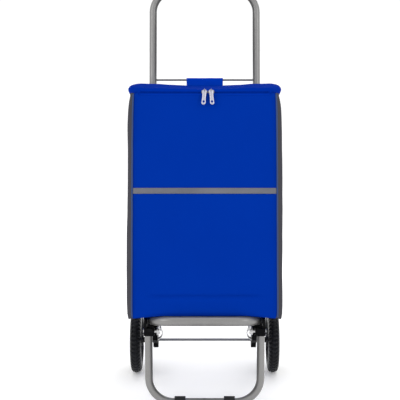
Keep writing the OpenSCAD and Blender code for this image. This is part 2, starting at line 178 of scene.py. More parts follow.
def join(name, objs):
    """One object from several, keeping their materials."""
    bpy.ops.object.select_all(action="DESELECT")
    for o in objs:
        o.select_set(True)
    bpy.context.view_layer.objects.active = objs[0]
    bpy.ops.object.join()
    objs[0].name = name
    objs[0].data.name = name
    return objs[0]


def stitches(name, path, outward, mat, pitch=0.0046, length=0.0031, radius=0.00042, lift=0.00025):
    """Short raised threads along a path; outward(i) gives the surface normal at path point i."""
    verts, faces = [], []
    sides = 6
    run, done = 0.0, 0.0
    for i in range(len(path) - 1):
        a, b = path[i], path[i + 1]
        seg = (b - a).length
        if seg < 1e-9:
            continue
        along = (b - a) / seg
        n = outward(i).normalized()
        side = along.cross(n).normalized()
        while done + pitch <= run + seg:
            done += pitch
            p = a + along * (done - run)
            base = len(verts)
            for k, (t, grow) in enumerate(((-0.5, 0.35), (-0.3, 1), (0.3, 1), (0.5, 0.35))):
                dip = 0 if abs(t) < 0.4 else -radius * 0.9
                centre = p + along * (t * length) + n * (lift + dip)
                for s in range(sides):
                    ang = 2 * math.pi * s / sides
                    round_x, round_y = math.cos(ang) * radius * grow, math.sin(ang) * radius * grow
                    verts.append(centre + side * round_x + n * round_y)
            for k in range(3):
                for s in range(sides):
                    q = base + k * sides
                    faces.append((q + s, q + (s + 1) % sides, q + sides + (s + 1) % sides, q + sides + s))
            faces.append(tuple(base + s for s in range(sides - 1, -1, -1)))
            faces.append(tuple(base + 3 * sides + s for s in range(sides)))
        run += seg
    return make_mesh(name, verts, faces, [mat])


def soft_fold(obj):
    """Gives the object its own copy of its mesh."""
    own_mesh(obj)


# ---- materials -----------------------------------------------------------------------------------


class Shader:
    """A material's node tree with short helpers."""

    def __init__(self, name):
        self.mat = bpy.data.materials.new(name)
        self.mat.use_nodes = True
        self.nodes = self.mat.node_tree.nodes
        self.links = self.mat.node_tree.links
        self.bsdf = self.nodes["Principled BSDF"]

    def add(self, kind, **props):
        node = self.nodes.new(kind)
        for key, value in props.items():
            setattr(node, key, value)
        return node

    def put(self, node, socket, value):
        if hasattr(value, "is_output"):
            self.links.new(value, node.inputs[socket])
        else:
            node.inputs[socket].default_value = value

    def coords(self, kind="Object"):
        return self.add("ShaderNodeTexCoord").outputs[kind]

    def noise(self, vector, scale, detail=3.0, rough=0.55, stretch=None):
        if stretch:
            mapping = self.add("ShaderNodeMapping")
            self.put(mapping, "Vector", vector)
            mapping.inputs["Scale"].default_value = stretch
            vector = mapping.outputs[0]
        node = self.add("ShaderNodeTexNoise")
        self.put(node, "Vector", vector)
        self.put(node, "Scale", scale)
        self.put(node, "Detail", detail)
        self.put(node, "Roughness", rough)
        return node.outputs["Fac"]

    def wave(self, vector, period, direction, distort=0.0):
        node = self.add("ShaderNodeTexWave", wave_type="BANDS", bands_direction=direction, wave_profile="SIN")
        self.put(node, "Vector", vector)
        self.put(node, "Scale", 2 * math.pi / (20 * period))
        self.put(node, "Distortion", distort)
        self.put(node, "Detail", 1.0)
        self.put(node, "Detail Scale", 2.0)
        return node.outputs["Fac"]

    def math(self, op, a, b=0.0, clamp=False):
        node = self.add("ShaderNodeMath", operation=op, use_clamp=clamp)
        self.put(node, 0, a)
        self.put(node, 1, b)
        return node.outputs[0]

    def ramp(self, fac, low, high, a=0.0, b=1.0):
        """Maps fac from low..high to a..b."""
        node = self.add("ShaderNodeMapRange", clamp=True)
        self.put(node, "Value", fac)
        for key, value in (("From Min", low), ("From Max", high), ("To Min", a), ("To Max", b)):
            self.put(node, key, value)
        return node.outputs[0]

    def mix(self, fac, a, b):
        node = self.add("ShaderNodeMix", data_type="RGBA")
        self.put(node, 0, fac)
        for slot, value in ((6, a), (7, b)):
            if hasattr(value, "is_output"):
                self.links.new(value, node.inputs[slot])
            else:
                node.inputs[slot].default_value = (*value, 1.0)
        return node.outputs[2]

    def bump(self, height, distance, strength=1.0, normal=None):
        node = self.add("ShaderNodeBump")
        self.put(node, "Height", height)
        self.put(node, "Distance", distance)
        self.put(node, "Strength", strength)
        if normal is not None:
            self.put(node, "Normal", normal)
        return node.outputs[0]

    def set(self, **values):
        for key, value in values.items():
            self.put(self.bsdf, key.replace("_", " "), value)
        return self.mat


def cloth_material(name, colour, shade, thread=0.0009, rough=0.88, sheen=0.0, depth=0.00012, worn=None,
                   gloss=0.012):
    """Woven polyester: crossed threads, slight colour drift and soft scuffs."""
    s = Shader(name)
    uv = s.coords("UV")
    place = s.coords("Object")
    warp = s.wave(uv, thread, "X", 0.4)
    weft = s.wave(uv, thread, "Y", 0.4)
    weave = s.math("MULTIPLY", s.math("ADD", warp, weft), 0.5)
    drift = s.noise(place, 7.0, 3.0)
    fuzz = s.noise(place, 420.0, 2.0)
    slub = s.noise(uv, 90.0, 2.0, 0.5, (1.0, 14.0, 1.0))
    tone = s.math("ADD", s.math("MULTIPLY", weave, 0.35), s.math("MULTIPLY", drift, 0.45))
    tone = s.math("ADD", tone, s.math("MULTIPLY", slub, 0.2))
    base = s.mix(s.ramp(tone, 0.25, 0.75), shade, colour)
    if worn:
        base = s.mix(s.ramp(s.noise(place, 23.0, 5.0, 0.7), 0.60, 0.80, 0.0, 0.35), base, worn)
    normal = s.bump(weave, depth, 0.8)
    normal = s.bump(fuzz, depth * 0.7, 0.35, normal)
    return s.set(Base_Color=base, Roughness=s.ramp(fuzz, 0.3, 0.7, rough - 0.06, rough + 0.08),
                 Sheen_Weight=sheen, Sheen_Roughness=0.45, Specular_IOR_Level=gloss, Normal=normal)


def tube_material():
    """Silver-grey enamel on steel tube, with fine orange peel and light scuffs."""
    s = Shader("tube enamel")
    place = s.coords("Object")
    speck = s.noise(place, 900.0, 2.0)
    peel = s.noise(place, 180.0, 2.0)
    scuff = s.noise(place, 34.0, 6.0, 0.75)
    base = s.mix(s.ramp(speck, 0.3, 0.7), (0.215, 0.212, 0.208), (0.252, 0.249, 0.245))
    base = s.mix(s.ramp(scuff, 0.62, 0.78, 0.0, 0.4), base, (0.16, 0.157, 0.153))
    return s.set(Base_Color=base, Metallic=0.72, Roughness=s.ramp(scuff, 0.35, 0.75, 0.34, 0.52),
                 Coat_Weight=0.15, Coat_Roughness=0.3, Normal=s.bump(peel, 0.00005, 0.15))


def zinc_material(name="zinc plate", tone=0.62, rough=0.3, cool=1.01):
    """Zinc-plated steel with a faint spangle and draw lines."""
    s = Shader(name)
    place = s.coords("Object")
    spangle = s.add("ShaderNodeTexVoronoi")
    s.put(spangle, "Vector", place)
    s.put(spangle, "Scale", 260.0)
    grain = s.noise(place, 900.0, 3.0)
    stain = s.noise(place, 40.0, 4.0, 0.7)
    cell = s.ramp(spangle.outputs["Distance"], 0.0, 0.7)
    base = s.mix(cell, (tone, tone, tone * cool), (tone * 0.86, tone * 0.86, tone * 0.86 * cool))
    base = s.mix(s.ramp(stain, 0.6, 0.8, 0.0, 0.45), base, (tone * 0.55, tone * 0.54, tone * 0.53))
    dull = s.ramp(grain, 0.3, 0.7, rough - 0.05, rough + 0.15)
    return s.set(Base_Color=base, Metallic=0.95, Roughness=dull, Normal=s.bump(grain, 0.00006, 0.4))


def plastic_material(name, colour, rough=0.48, grain_size=700.0, grain_depth=0.00008, gloss=0.4):
    """Moulded plastic or rubber with a fine grain and dull handling marks."""
    s = Shader(name)
    place = s.coords("Object")
    grain = s.noise(place, grain_size, 2.0)
    rub = s.noise(place, 30.0, 5.0, 0.7)
    lighter = tuple(min(1.0, c * 1.9 + 0.012) for c in colour)
    base = s.mix(s.ramp(rub, 0.5, 0.8, 0.0, 0.7), colour, lighter)
    return s.set(Base_Color=base, Roughness=s.ramp(rub, 0.3, 0.7, rough - 0.08, rough + 0.12),
                 Specular_IOR_Level=gloss, Normal=s.bump(grain, grain_depth, 0.5))


def tyre_material():
    """Tyre rubber with lighter bluish patches, partly dust and partly painted highlight."""
    s = Shader("tyre rubber")
    place = s.coords("Object")
    dust_and_glint = s.noise(place, 55.0, 6.0, 0.75)
    grain = s.noise(place, 1100.0, 2.0)
    # Lighter bluish patches: partly dust, partly painted highlight on the tread.
    base = s.mix(s.ramp(dust_and_glint, 0.48, 0.75, 0.0, 0.55), (0.0028, 0.0034, 0.0052), (0.016, 0.018, 0.024))
    return s.set(Base_Color=base, Roughness=s.ramp(dust_and_glint, 0.3, 0.7, 0.28, 0.5), Specular_IOR_Level=0.17,
                 Normal=s.bump(grain, 0.00006, 0.4))


def tape_material():
    """Grey reflective tape with tiny glass beads."""
    s = Shader("reflective tape")
    place = s.coords("Object")
    beads = s.add("ShaderNodeTexVoronoi")
    s.put(beads, "Vector", place)
    s.put(beads, "Scale", 900.0)
    patch = s.noise(place, 7.0, 4.0, 0.6)
    base = s.mix(s.ramp(patch, 0.35, 0.7), (0.086, 0.087, 0.108), (0.142, 0.143, 0.164))
    return s.set(Base_Color=base, Metallic=0.15, Roughness=0.42,
                 Normal=s.bump(beads.outputs["Distance"], 0.00008, 0.4))


BLUE = (0.0, 0.0265, 0.296)
BLUE_SHADE = (0.0, 0.0232, 0.266)
MAT = {
    "blue": cloth_material("blue polyester", BLUE, BLUE_SHADE),
    # The lid is the same fabric as the bag, given a darker blue: painted shade that keeps its lit top as dark
    # as the front.
    "lid": cloth_material("blue lid polyester with painted shade", (0.0, 0.0225, 0.280), (0.0, 0.0200, 0.252), gloss=0.003),
    "grey": cloth_material("grey polyester", (0.062, 0.061, 0.072), (0.045, 0.045, 0.055),
                           worn=(0.085, 0.080, 0.085)),
    # The strap is the bag's fabric given a lighter blue: painted light that offsets the shade on the upright
    # loop at the back.
    "loop": cloth_material("blue strap with painted light", (0.0, 0.039, 0.43), (0.0, 0.034, 0.385), thread=0.0011),
    "axle": zinc_material("axle steel", 0.31, 0.32),
    "lining": cloth_material("dark lining", (0.02, 0.022, 0.03), (0.012, 0.013, 0.018)),
    "piping": cloth_material("piping binding", (0.052, 0.082, 0.195), (0.036, 0.058, 0.145), thread=0.0007),
    "thread": cloth_material("sewing thread", (0.004, 0.05, 0.42), (0.003, 0.035, 0.30), thread=0.0004),
    "grey thread": cloth_material("grey thread", (0.12, 0.12, 0.13), (0.08, 0.08, 0.09), thread=0.0004),
    "pale thread": cloth_material("pale thread", (0.26, 0.26, 0.29), (0.18, 0.18, 0.20), thread=0.0004),
    # The zip's blue is lighter than the bag's blue: painted light that offsets the shadow under the lid's
    # lip.
    "zip": cloth_material("zip tape with painted light", (0.0, 0.029, 0.34), (0.0, 0.025, 0.30), thread=0.0006),
    "tube": tube_material(),
    "zinc": zinc_material(),
    "chrome": zinc_material("nickel plate", 0.53, 0.22, 1.18),
    "cast": zinc_material("cast slider", 0.30, 0.30),
    "rod": zinc_material("hook rod steel", 0.26, 0.42),
    "black": plastic_material("black plastic", (0.0028, 0.0028, 0.0034), 0.42, gloss=0.04),
    "rim": plastic_material("rim plastic", (0.012, 0.012, 0.014), 0.35),
    "rubber": plastic_material("foot rubber", (0.009, 0.009, 0.010), 0.7, 500.0, 0.00012),
    "grip": plastic_material("grip foam", (0.013, 0.013, 0.014), 0.85, 420.0, 0.0003),
    "board": plastic_material("board", (0.03, 0.03, 0.032), 0.6),
    "tyre": tyre_material(),
    "tape": tape_material(),
}


def finish_cad_nodes():
    """Gives every CAD node that stays visible its real finish."""
    finish = {
        "tube": ["handle_tube", "platform_arms", "leg_tube"],
        "axle": ["axle"],
        "rod": ["hook_rod"],
        "zinc": ["push_caps", "platform_pins", "link_pins_rear", "moulding_rivets",
                 "platform_wires", "bracket_rivets", "leg_pins", "link_pins_front", "link_l", "link_r",
                 "axle_stay_l", "axle_stay_r"],
        "black": ["side_moulding_l", "side_moulding_r", "leg_bracket_l", "leg_bracket_r", "axle_spacers",
                  "arm_plugs"],
        "rim": ["rim_l", "rim_r"],
        "rubber": ["foot_l", "foot_r"],
        "grip": ["grip"],
        "board": ["base_board"],
    }
    for material, names in finish.items():
        for name in names:
            obj = nodes[name]
            if not obj.material_slots:
                obj.data.materials.append(MAT[material])
            for slot in obj.material_slots:
                slot.material = MAT[material]


# ---- bag -----------------------------------------------------------------------------------------

CREASE_UP = 0.232
STRIP_UP = 0.470
STRIP_HALF = 0.00675


def side_arc():
    """Centre of the bowed side's arc as (x, ahead)."""
    chord = math.hypot(BAG_DEPTH, BACK_HALF - PANEL_HALF)
    drop = math.sqrt(SIDE_R ** 2 - (chord / 2) ** 2)
    x = (PANEL_HALF + BACK_HALF) / 2 - drop * BAG_DEPTH / chord
    ahead = (BACK_AHEAD + FRONT_AHEAD) / 2 - drop * (BACK_HALF - PANEL_HALF) / chord
    return x, ahead


def side_x(ahead):
    """Half width of the bag at a distance ahead."""
    cx, ca = side_arc()
    return cx + math.sqrt(SIDE_R ** 2 - (ahead - ca) ** 2)


FRONT_COLS, SIDE_COLS, BACK_COLS = 108, 30, 44


def bag_section():
    """The bag's outline from above, from the front left: (x, ahead, normal x, normal ahead, part)."""
    cx, ca = side_arc()
    a_front = math.atan2(FRONT_AHEAD - ca, PANEL_HALF - cx)
    a_back = math.atan2(BACK_AHEAD - ca, BACK_HALF - cx)
    out = []
    for i in range(FRONT_COLS):
        out.append((lerp(-PANEL_HALF, PANEL_HALF, i / FRONT_COLS), FRONT_AHEAD, 0, 1, "front"))
    for i in range(SIDE_COLS):
        a = lerp(a_front, a_back, i / SIDE_COLS)
        out.append((cx + SIDE_R * math.cos(a), ca + SIDE_R * math.sin(a), math.cos(a), math.sin(a), "side"))
    for i in range(BACK_COLS):
        out.append((lerp(BACK_HALF, -BACK_HALF, i / BACK_COLS), BACK_AHEAD, 0, -1, "back"))
    for i in range(SIDE_COLS):
        a = lerp(a_back, a_front, i / SIDE_COLS)
        out.append((-cx - SIDE_R * math.cos(a), ca + SIDE_R * math.sin(a), -math.cos(a), math.sin(a), "side"))
    return out


def belly(up):
    """How far the front panel's edges stand out of their straight line, between its pulled-in ends."""
    down = up_at(RIM_Z, FRONT_AHEAD) - up
    low = up - BAG_FLOOR_UP
    return 0.0020 * (1 - math.exp(-max(0.0, down) / 0.040)) * (1 - 0.5 * math.exp(-max(0.0, low) / 0.008))


def front_swell(x, up):
    """How far the front panel stands out of its plane."""
    top = up_at(RIM_Z, FRONT_AHEAD)
    t = (up - BAG_FLOOR_UP) / (top - BAG_FLOOR_UP)
    across = max(0.0, 1 - (abs(x) / PANEL_HALF) ** 2.4)
    swell = 0.0035 * across * math.sin(math.pi * min(1, max(0, t))) ** 0.8
    swell += 0.0011 * across * ripple(x * 9, up * 5, 1.3)
    swell += 0.0005 * ripple(x * 26, up * 16, 4.1) * across ** 0.5
    swell += 0.0012 * math.exp(-(top + 0.003 - up) / 0.007) * across ** 0.5
    strip = math.exp(-((abs(up - STRIP_UP) - STRIP_HALF) / 0.004) ** 2)
    swell -= 0.0009 * strip * across ** 0.3
    crease_half = 0.128 + 0.01 * ripple(up * 40, 0, 2.0)
    crease = math.exp(-((up - CREASE_UP - 0.0012 * ripple(x * 12, 0, 7.7)) / 0.0024) ** 2)
    swell -= 0.0030 * smooth(PANEL_HALF - 0.006, PANEL_HALF, abs(x)) ** 1.5
    swell -= 0.0036 * crease * smooth(crease_half + 0.02, crease_half - 0.03, abs(x))
    swell += 0.0024 * math.exp(-((up - CREASE_UP + 0.012) / 0.009) ** 2) * across ** 0.4
    roll = 0.020 * across ** 0.35 + 0.007
    low = up - BAG_FLOOR_UP
    if low < roll:
        swell -= (roll - math.sqrt(max(0.0, roll ** 2 - (roll - low) ** 2))) * 0.5
    return swell


def side_swell(side, ahead, up):
    """Soft upright folds in the grey side."""
    t = (ahead - BACK_AHEAD) / BAG_DEPTH
    hem = math.sin(math.pi * min(1, max(0, t))) ** 0.6
    fold = 0.0022 * math.sin(2 * math.pi * (t * 1.5 + 0.15 * ripple(up * 5, side * 3, 5.5)))
    fold += 0.0016 * ripple(t * 5, up * 7 + side * 9, 3.4)
    low = up - BAG_FLOOR_UP
    down = up_at(RIM_Z, ahead) - 0.008 - up
    tuck = -0.003 * math.exp(-low / 0.010)
    neck = -0.0060 * math.exp(-max(0.0, down) / 0.025)
    return (0.7 * fold - 0.0013) * hem + tuck + neck * hem ** 0.5


def back_swell(x, up):
    """The back hangs a little slack between the frame tubes."""
    across = max(0.0, 1 - (abs(x) / 0.112) ** 2)
    return 0.004 * across + 0.0010 * ripple(x * 10, up * 6, 9.1) * min(1, across + 0.2)


def droop(x, ahead, t):
    """How far the bag's lower corners and sides hang below its floor, clear of the platform tube's bends."""
    if abs(x) < PANEL_HALF - 1e-6:
        amount = 0.0020 + 0.0028 * smooth(0.112, 0.155, abs(x))
        amount *= smooth(FRONT_AHEAD - 0.030, FRONT_AHEAD - 0.002, ahead)
    else:
        amount = 0.0095 * smooth(0.02, 0.08, ahead) - 0.0047 * smooth(0.150, FRONT_AHEAD, ahead)
    return amount * smooth(0.05, 0.0, t)


def bag_shell():
    """The bag's walls as one lofted shell: blue front and back, grey bowed sides, open at the rim."""
    section = bag_section()
    rows = 176
    verts, uvs = [], []
    for r in range(rows):
        t = r / (rows - 1)
        run = 0.0
        for k, (x, ahead, nx, na, part) in enumerate(section):
            rise = smooth(BACK_HALF, BACK_HALF - 0.006, abs(x)) if part == "back" else 0.0
            if part == "front":
                rise = FRONT_RISE * smooth(PANEL_HALF, PANEL_HALF - 0.012, abs(x)) / (SEWN_Z - RIM_Z)
            up = lerp(BAG_FLOOR_UP, up_at(lerp(RIM_Z, SEWN_Z, rise), ahead), t)
            if part == "front":
                swell = front_swell(x, up)
            elif part == "back":
                swell = back_swell(x, up)
            else:
                swell = side_swell(1 if x > 0 else -1, ahead, up)
            corner = min(abs(abs(x) - PANEL_HALF), 0.02) / 0.02
            if part != "front":
                corner = 1.0
            near = smooth(BACK_AHEAD, FRONT_AHEAD, ahead)
            spread = {"front": abs(x) / PANEL_HALF, "back": 0.0, "side": near}
            wide = math.copysign(belly(up) * spread[part], x)
            verts.append(leaned(x + wide + nx * swell, ahead + na * swell * max(corner, 0.25),
                                up - droop(x, ahead, t)))
            px, pa = section[k - 1][:2]
            run += math.hypot(x - px, ahead - pa) if k else 0.0
            uvs.append((run, up))
    cols = len(section)
    faces = grid_faces(rows, cols, wrap_cols=True)
    part_of = [p[4] for p in section]
    face_mats = [1 if part_of[i % cols] == "side" else 0 for i in range(len(faces))]
    obj = make_mesh("bag_shell", verts, faces, [MAT["blue"], MAT["grey"], MAT["lining"]], face_mats, uvs)
    thick = obj.modifiers.new("cloth", "SOLIDIFY")
    thick.thickness = 0.0022
    thick.offset = -1
    thick.material_offset = 0
    soft_fold(obj)
    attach(obj, "frame")
    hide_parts("bag_front", "bag_back", "bag_side_l", "bag_side_r")
    return obj


def bag_floor():
    """The bag's floor, resting on the platform and the cross wires."""
    rows, cols = 40, 60
    verts, uvs = [], []
    for r in range(rows):
        ahead = lerp(BACK_AHEAD + 0.001, FRONT_AHEAD - 0.004, r / (rows - 1))
        half = side_x(ahead) - 0.012
        for c in range(cols):
            x = lerp(-half, half, c / (cols - 1))
            edge = min(1.0, (half - abs(x)) / 0.02)
            sag = 0.0006 * (1 + ripple(x * 14, ahead * 14, 2.2)) * edge
            verts.append(leaned(x, ahead, BAG_FLOOR_UP + 0.0008 + sag))
            uvs.append((x, ahead))
    obj = make_mesh("bag_floor_cloth", verts, grid_faces(rows, cols), [MAT["blue"]], uvs=uvs)
    thick = obj.modifiers.new("cloth", "SOLIDIFY")
    thick.thickness = 0.0016
    soft_fold(obj)
    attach(obj, "frame")
    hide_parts("bag_bottom")


def front_point(x, up, lift=0.0):
    """A point on the front panel's outer face."""
    corner = max(min(abs(abs(x) - PANEL_HALF), 0.02) / 0.02, 0.25)
    return leaned(x * (1 + belly(up) / PANEL_HALF), FRONT_AHEAD + front_swell(x, up) * corner + lift, up)


def piping(side, name):
    """Corded binding on the seam between the front panel and the grey side."""
    top = up_at(RIM_Z, FRONT_AHEAD)
    pts = []
    for i in range(91):
        up = lerp(BAG_FLOOR_UP + 0.002, top - 0.0005, i / 90)
        low = max(0.0, 1 - (up - BAG_FLOOR_UP) / 0.012)
        wob = 0.0003 * ripple(up * 30, side, 6.0)
        hang = droop(side * PANEL_HALF, FRONT_AHEAD, (up - BAG_FLOOR_UP) / (top - BAG_FLOOR_UP))
        x = side * (PANEL_HALF + 0.0010 + wob + belly(up))
        pts.append(leaned(x, FRONT_AHEAD + 0.0004 - 0.002 * low ** 2, up - hang))
    obj = sweep(name, pts, ring(0.0018, 14), [MAT["piping"]])
    soft_fold(obj)
    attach(obj, "frame")
    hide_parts("piping_l" if side < 0 else "piping_r")


def reflective_strip():
    """Grey tape sewn across the front panel."""
    verts, uvs = [], []
    cols, across = 120, 9
    for r in range(across):
        v = lerp(-1, 1, r / (across - 1))
        up = STRIP_UP + v * STRIP_HALF
        lift = 0.0007 - 0.0006 * abs(v) ** 6
        for c in range(cols):
            x = lerp(-PANEL_HALF + 0.0005, PANEL_HALF - 0.0005, c / (cols - 1))
            verts.append(front_point(x, up, lift + 0.0006))
            uvs.append((x, up))
    obj = make_mesh("reflective_tape", verts, grid_faces(across, cols), [MAT["tape"]], uvs=uvs)
    thick = obj.modifiers.new("tape", "SOLIDIFY")
    thick.thickness = 0.0009
    soft_fold(obj)
    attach(obj, "frame")
    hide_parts("reflective_strip")


def side_point(side, share, up, lift=0.0):
    """A point on a grey side's outer face, from the front seam (share 0) to the rear one (share 1)."""
    cx, ca = side_arc()
    a_front = math.atan2(FRONT_AHEAD - ca, PANEL_HALF - cx)
    a_back = math.atan2(BACK_AHEAD - ca, BACK_HALF - cx)
    a = lerp(a_front, a_back, share)
    x = side * (cx + SIDE_R * math.cos(a))
    ahead = ca + SIDE_R * math.sin(a)
    swell = side_swell(side, ahead, up) + lift
    wide = side * belly(up) * smooth(BACK_AHEAD, FRONT_AHEAD, ahead)
    hang = droop(x, ahead, (up - BAG_FLOOR_UP) / (up_at(RIM_Z, ahead) - BAG_FLOOR_UP))
    return leaned(x + wide + side * math.cos(a) * swell, ahead + math.sin(a) * swell, up - hang)


def side_stitching(side):
    """Rows of thread round the edges of one grey side."""
    def outward(_):
        return SIDEWAYS * side

    rows = []
    for share in (0.045, 0.955):
        top = up_at(RIM_Z, lerp(FRONT_AHEAD, BACK_AHEAD, share)) - 0.006
        path = [side_point(side, share, lerp(BAG_FLOOR_UP + 0.006, top, i / 140), 0.0001) for i in range(141)]
        rows.append(stitches("side_thread", path, outward, MAT["grey thread"]))
    path = [side_point(side, lerp(0.05, 0.95, i / 80), BAG_FLOOR_UP + 0.010, 0.0001) for i in range(81)]
    rows.append(stitches("side_hem_thread", path, outward, MAT["grey thread"]))
    obj = join("side_stitching_l" if side < 0 else "side_stitching_r", rows)
    soft_fold(obj)
    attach(obj, "frame")


def bag_stitching():
    """Rows of thread along the tape and the front panel's edges and hem."""
    def forward(_):
        return FORWARD

    rows = []
    xs = [lerp(-PANEL_HALF + 0.004, PANEL_HALF - 0.004, i / 90) for i in range(91)]
    for v in (-1, 1):
        path = [front_point(x, STRIP_UP + v * (STRIP_HALF - 0.0016), 0.0012) for x in xs]
        rows.append(stitches("tape_thread", path, forward, MAT["pale thread"]))
    top = up_at(RIM_Z, FRONT_AHEAD)
    for side in (-1, 1):
        x = side * (PANEL_HALF - 0.0065)
        path = [front_point(x, lerp(BAG_FLOOR_UP + 0.006, top - 0.004, i / 120), 0.0001) for i in range(121)]
        rows.append(stitches("edge_thread", path, forward, MAT["thread"]))
    path = [front_point(x * 0.97, BAG_FLOOR_UP + 0.010, 0.0001) for x in xs]
    rows.append(stitches("hem_thread", path, forward, MAT["thread"]))
    obj = join("bag_stitching", rows)
    soft_fold(obj)
    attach(obj, "frame")


def hanging_loop():
    """Cloth loop sewn to the back of the bag and passed over the hook rod."""
    low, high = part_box("hanging_loop")
    rod_low, rod_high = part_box("hook_rod")
    rod = Vector((0, (rod_low.y + rod_high.y) / 2, (rod_low.z + rod_high.z) / 2))
    half = (high.x - low.x) / 2 - 0.001
    radius = 0.0040
    path = []
    steps = 10
    for i in range(14):
        path.append(rod + FORWARD * radius - UPWARD * lerp(0.055, 0.004, i / 13))
    for i in range(steps + 1):
        a = math.pi * i / steps
        path.append(rod + FORWARD * (radius * math.cos(a)) + UPWARD * (radius * math.sin(a)))
    for i in range(14):
        path.append(rod - FORWARD * radius - UPWARD * lerp(0.004, 0.055, i / 13))
    cols = 40
    verts, uvs = [], []
    for r, p in enumerate(path):
        for c in range(cols):
            x = lerp(-half, half, c / (cols - 1))
            wob = 0.0005 * ripple(x * 40, r * 0.3, 8.0)
            verts.append(p + SIDEWAYS * x + FORWARD * wob + UPWARD * (0.0006 * ripple(x * 30, 0, 3.0)))
            uvs.append((x, r * 0.004))
    obj = make_mesh("hanging_loop_cloth", verts, grid_faces(len(path), cols), [MAT["loop"]], uvs=uvs)
    thick = obj.modifiers.new("cloth", "SOLIDIFY")
    thick.thickness = 0.0016
    thick.offset = 0
    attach(obj, "frame")
    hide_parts("hanging_loop")


# ---- lid -----------------------------------------------------------------------------------------

LID_GROW = -0.0012


LID_EDGE = 0.0058
LID_SIDE_EDGE = 0.0115


def lid_crown(x, depth):
    """Height of the lid's top over its level, from its width and its depth share (0 rear, 1 front)."""
    ridge = 0.0026 * math.exp(-((abs(x) - 0.122) / 0.034) ** 2) * (1 - 0.9 * depth)
    ridge += 0.0020 * smooth(0.13, 0.165, abs(x))
    ridge *= smooth(-0.02, 0.12, depth)
    ridge -= 0.0020 * math.exp(-((abs(x) - 0.122) / 0.020) ** 2) * smooth(0.10, 0.0, depth)
    dip = -0.0046 * math.exp(-(x / 0.080) ** 2) * (1 - 0.35 * depth)
    wave = 0.0008 * ripple(x * 13, depth * 2.4, 2.7)
    return ridge + dip + wave + 0.0002


def lid():
    """Soft lid with a short skirt on the front and sides, which bulges a little at its rolled corners."""
    low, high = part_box("lid")
    y_rear, y_front = high.y, low.y
    mid_y = leaned(0, side_arc()[1], up_at(LID_TOP, side_arc()[1])).y
    cx = side_arc()[0]

    def half_at(y):
        return cx + math.sqrt((SIDE_R + LID_GROW) ** 2 - (y - mid_y) ** 2)

    cols, deep, skirt = 96, 40, 12
    verts, uvs = [], []
    rows = deep + skirt
    total_cols = cols + 2 * skirt
    for r in range(rows):
        fr = min(1.0, r / (deep - 1))
        down_r = max(0, r - deep + 1) / skirt
        y = lerp(y_rear, y_front + LID_EDGE, fr)
        half = half_at(lerp(y_rear, y_front, fr))
        for c in range(total_cols):
            k = c - skirt
            fc = min(1.0, max(0.0, k / (cols - 1)))
            down_c = max(0, -k, k - cols + 1) / skirt
            x = lerp(-half + LID_SIDE_EDGE, half - LID_SIDE_EDGE, fc)
            side = -1 if k < 0 else 1
            share = max(down_c, down_r)
            sideways = down_c / (down_c + down_r) if share else 0.0
            edge = lerp(LID_EDGE, LID_SIDE_EDGE, sideways)
            rolled = lerp(0.4, 0.6, sideways)
            turn = min(1.0, share / rolled)
            fall = max(0.0, (share - rolled) / (1 - rolled))
            out = edge * math.sin(turn * math.pi / 2) ** 1.15
            out += 0.0009 * math.sin(math.pi * fall) * (1 - sideways)
            out -= lerp(0.0028, 0.0046, sideways) * fall ** 1.3
            z = LID_TOP + lid_crown(x, fr)
            z -= lerp(0.8, 1.0, sideways) * edge * (1 - math.cos(turn * math.pi / 2))
            lip = lerp(FRONT_RISE - 0.0004 - 0.0030 * smooth(0.150, 0.164, abs(x)), -0.0080, sideways)
            z = lerp(z, LID_LOW + lip, fall)
            round_corner = 0.8 if down_c and down_r else 1
            sx = out * (down_c / share if share else 0) * round_corner
            sy = out * (down_r / share if share else 0) * round_corner
            bag = 0.0006 * ripple(x * 22, y * 22, 5.0) * smooth(0.2, 0.8, share)
            bag_x = bag if down_c else 0
            bag_y = bag if down_r else 0
            verts.append(Vector((x + side * (sx + bag_x), y - sy - bag_y, z)))
            uvs.append((x + side * sx, y - LID_EDGE * fall))
    obj = make_mesh("lid_cloth", verts, grid_faces(rows, total_cols), [MAT["lid"]], uvs=uvs)
    thick = obj.modifiers.new("cloth", "SOLIDIFY")
    thick.thickness = 0.0014
    thick.offset = 1
    soft_fold(obj)
    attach(obj, "lid")
    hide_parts("lid")


def lid_hinge():
    """Rolled hem along the lid's hinge that closes the seam between the back panel and the lid."""
    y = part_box("lid")[1].y - 0.0006
    z = SEWN_Z + 0.0006
    half = BACK_HALF - 0.006
    path = []
    for i in range(81):
        x = lerp(-half, half, i / 80)
        dip = 0.0044 * math.exp(-(x / 0.080) ** 2)
        path.append(Vector((x, y, z - dip + 0.0002 * ripple(x * 30, 0, 3.9))))
    obj = sweep("lid_hinge_hem", path, ring(0.0024, 12), [MAT["blue"]])
    soft_fold(obj)
    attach(obj, "frame")


# ---- zip -----------------------------------------------------------------------------------------


def zip_front():
    """Zip tape with its coil, along the top edge of the front panel."""
    low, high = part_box("zip_tape")
    half = (high.x - low.x) / 2
    ahead = FRONT_AHEAD + 0.0008
    top = up_at(RIM_Z + FRONT_RISE, FRONT_AHEAD) - 0.0005
    tape_path = [leaned(lerp(-half, half, i / 60), ahead, top - 0.0030) for i in range(61)]
    tape = sweep("zip_cloth", tape_path, slab(0.0029, 0.0005, 0.00045), [MAT["zip"]], up=FORWARD)
    turns = int(2 * half / 0.0021)
    per_turn = 6
    coil_path = []
    for i in range(turns * per_turn + 1):
        a = 2 * math.pi * i / per_turn
        x = lerp(-half, half, i / (turns * per_turn))
        coil_up = top - 0.0016 + 0.0012 * math.sin(a)
        coil_path.append(leaned(x, ahead + 0.0008 + 0.0005 * math.cos(a), coil_up))
    coil = sweep("zip_coil", coil_path, ring(0.00035, 5), [MAT["zip"]])
    obj = join("zip_tape_and_coil", [tape, coil])
    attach(obj, "zip_front")
    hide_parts("zip_tape")


PULL_REACH = 0.024
PULL_R = 0.0055
EYE_R = 0.0016
PULL_TILT = math.radians(5)


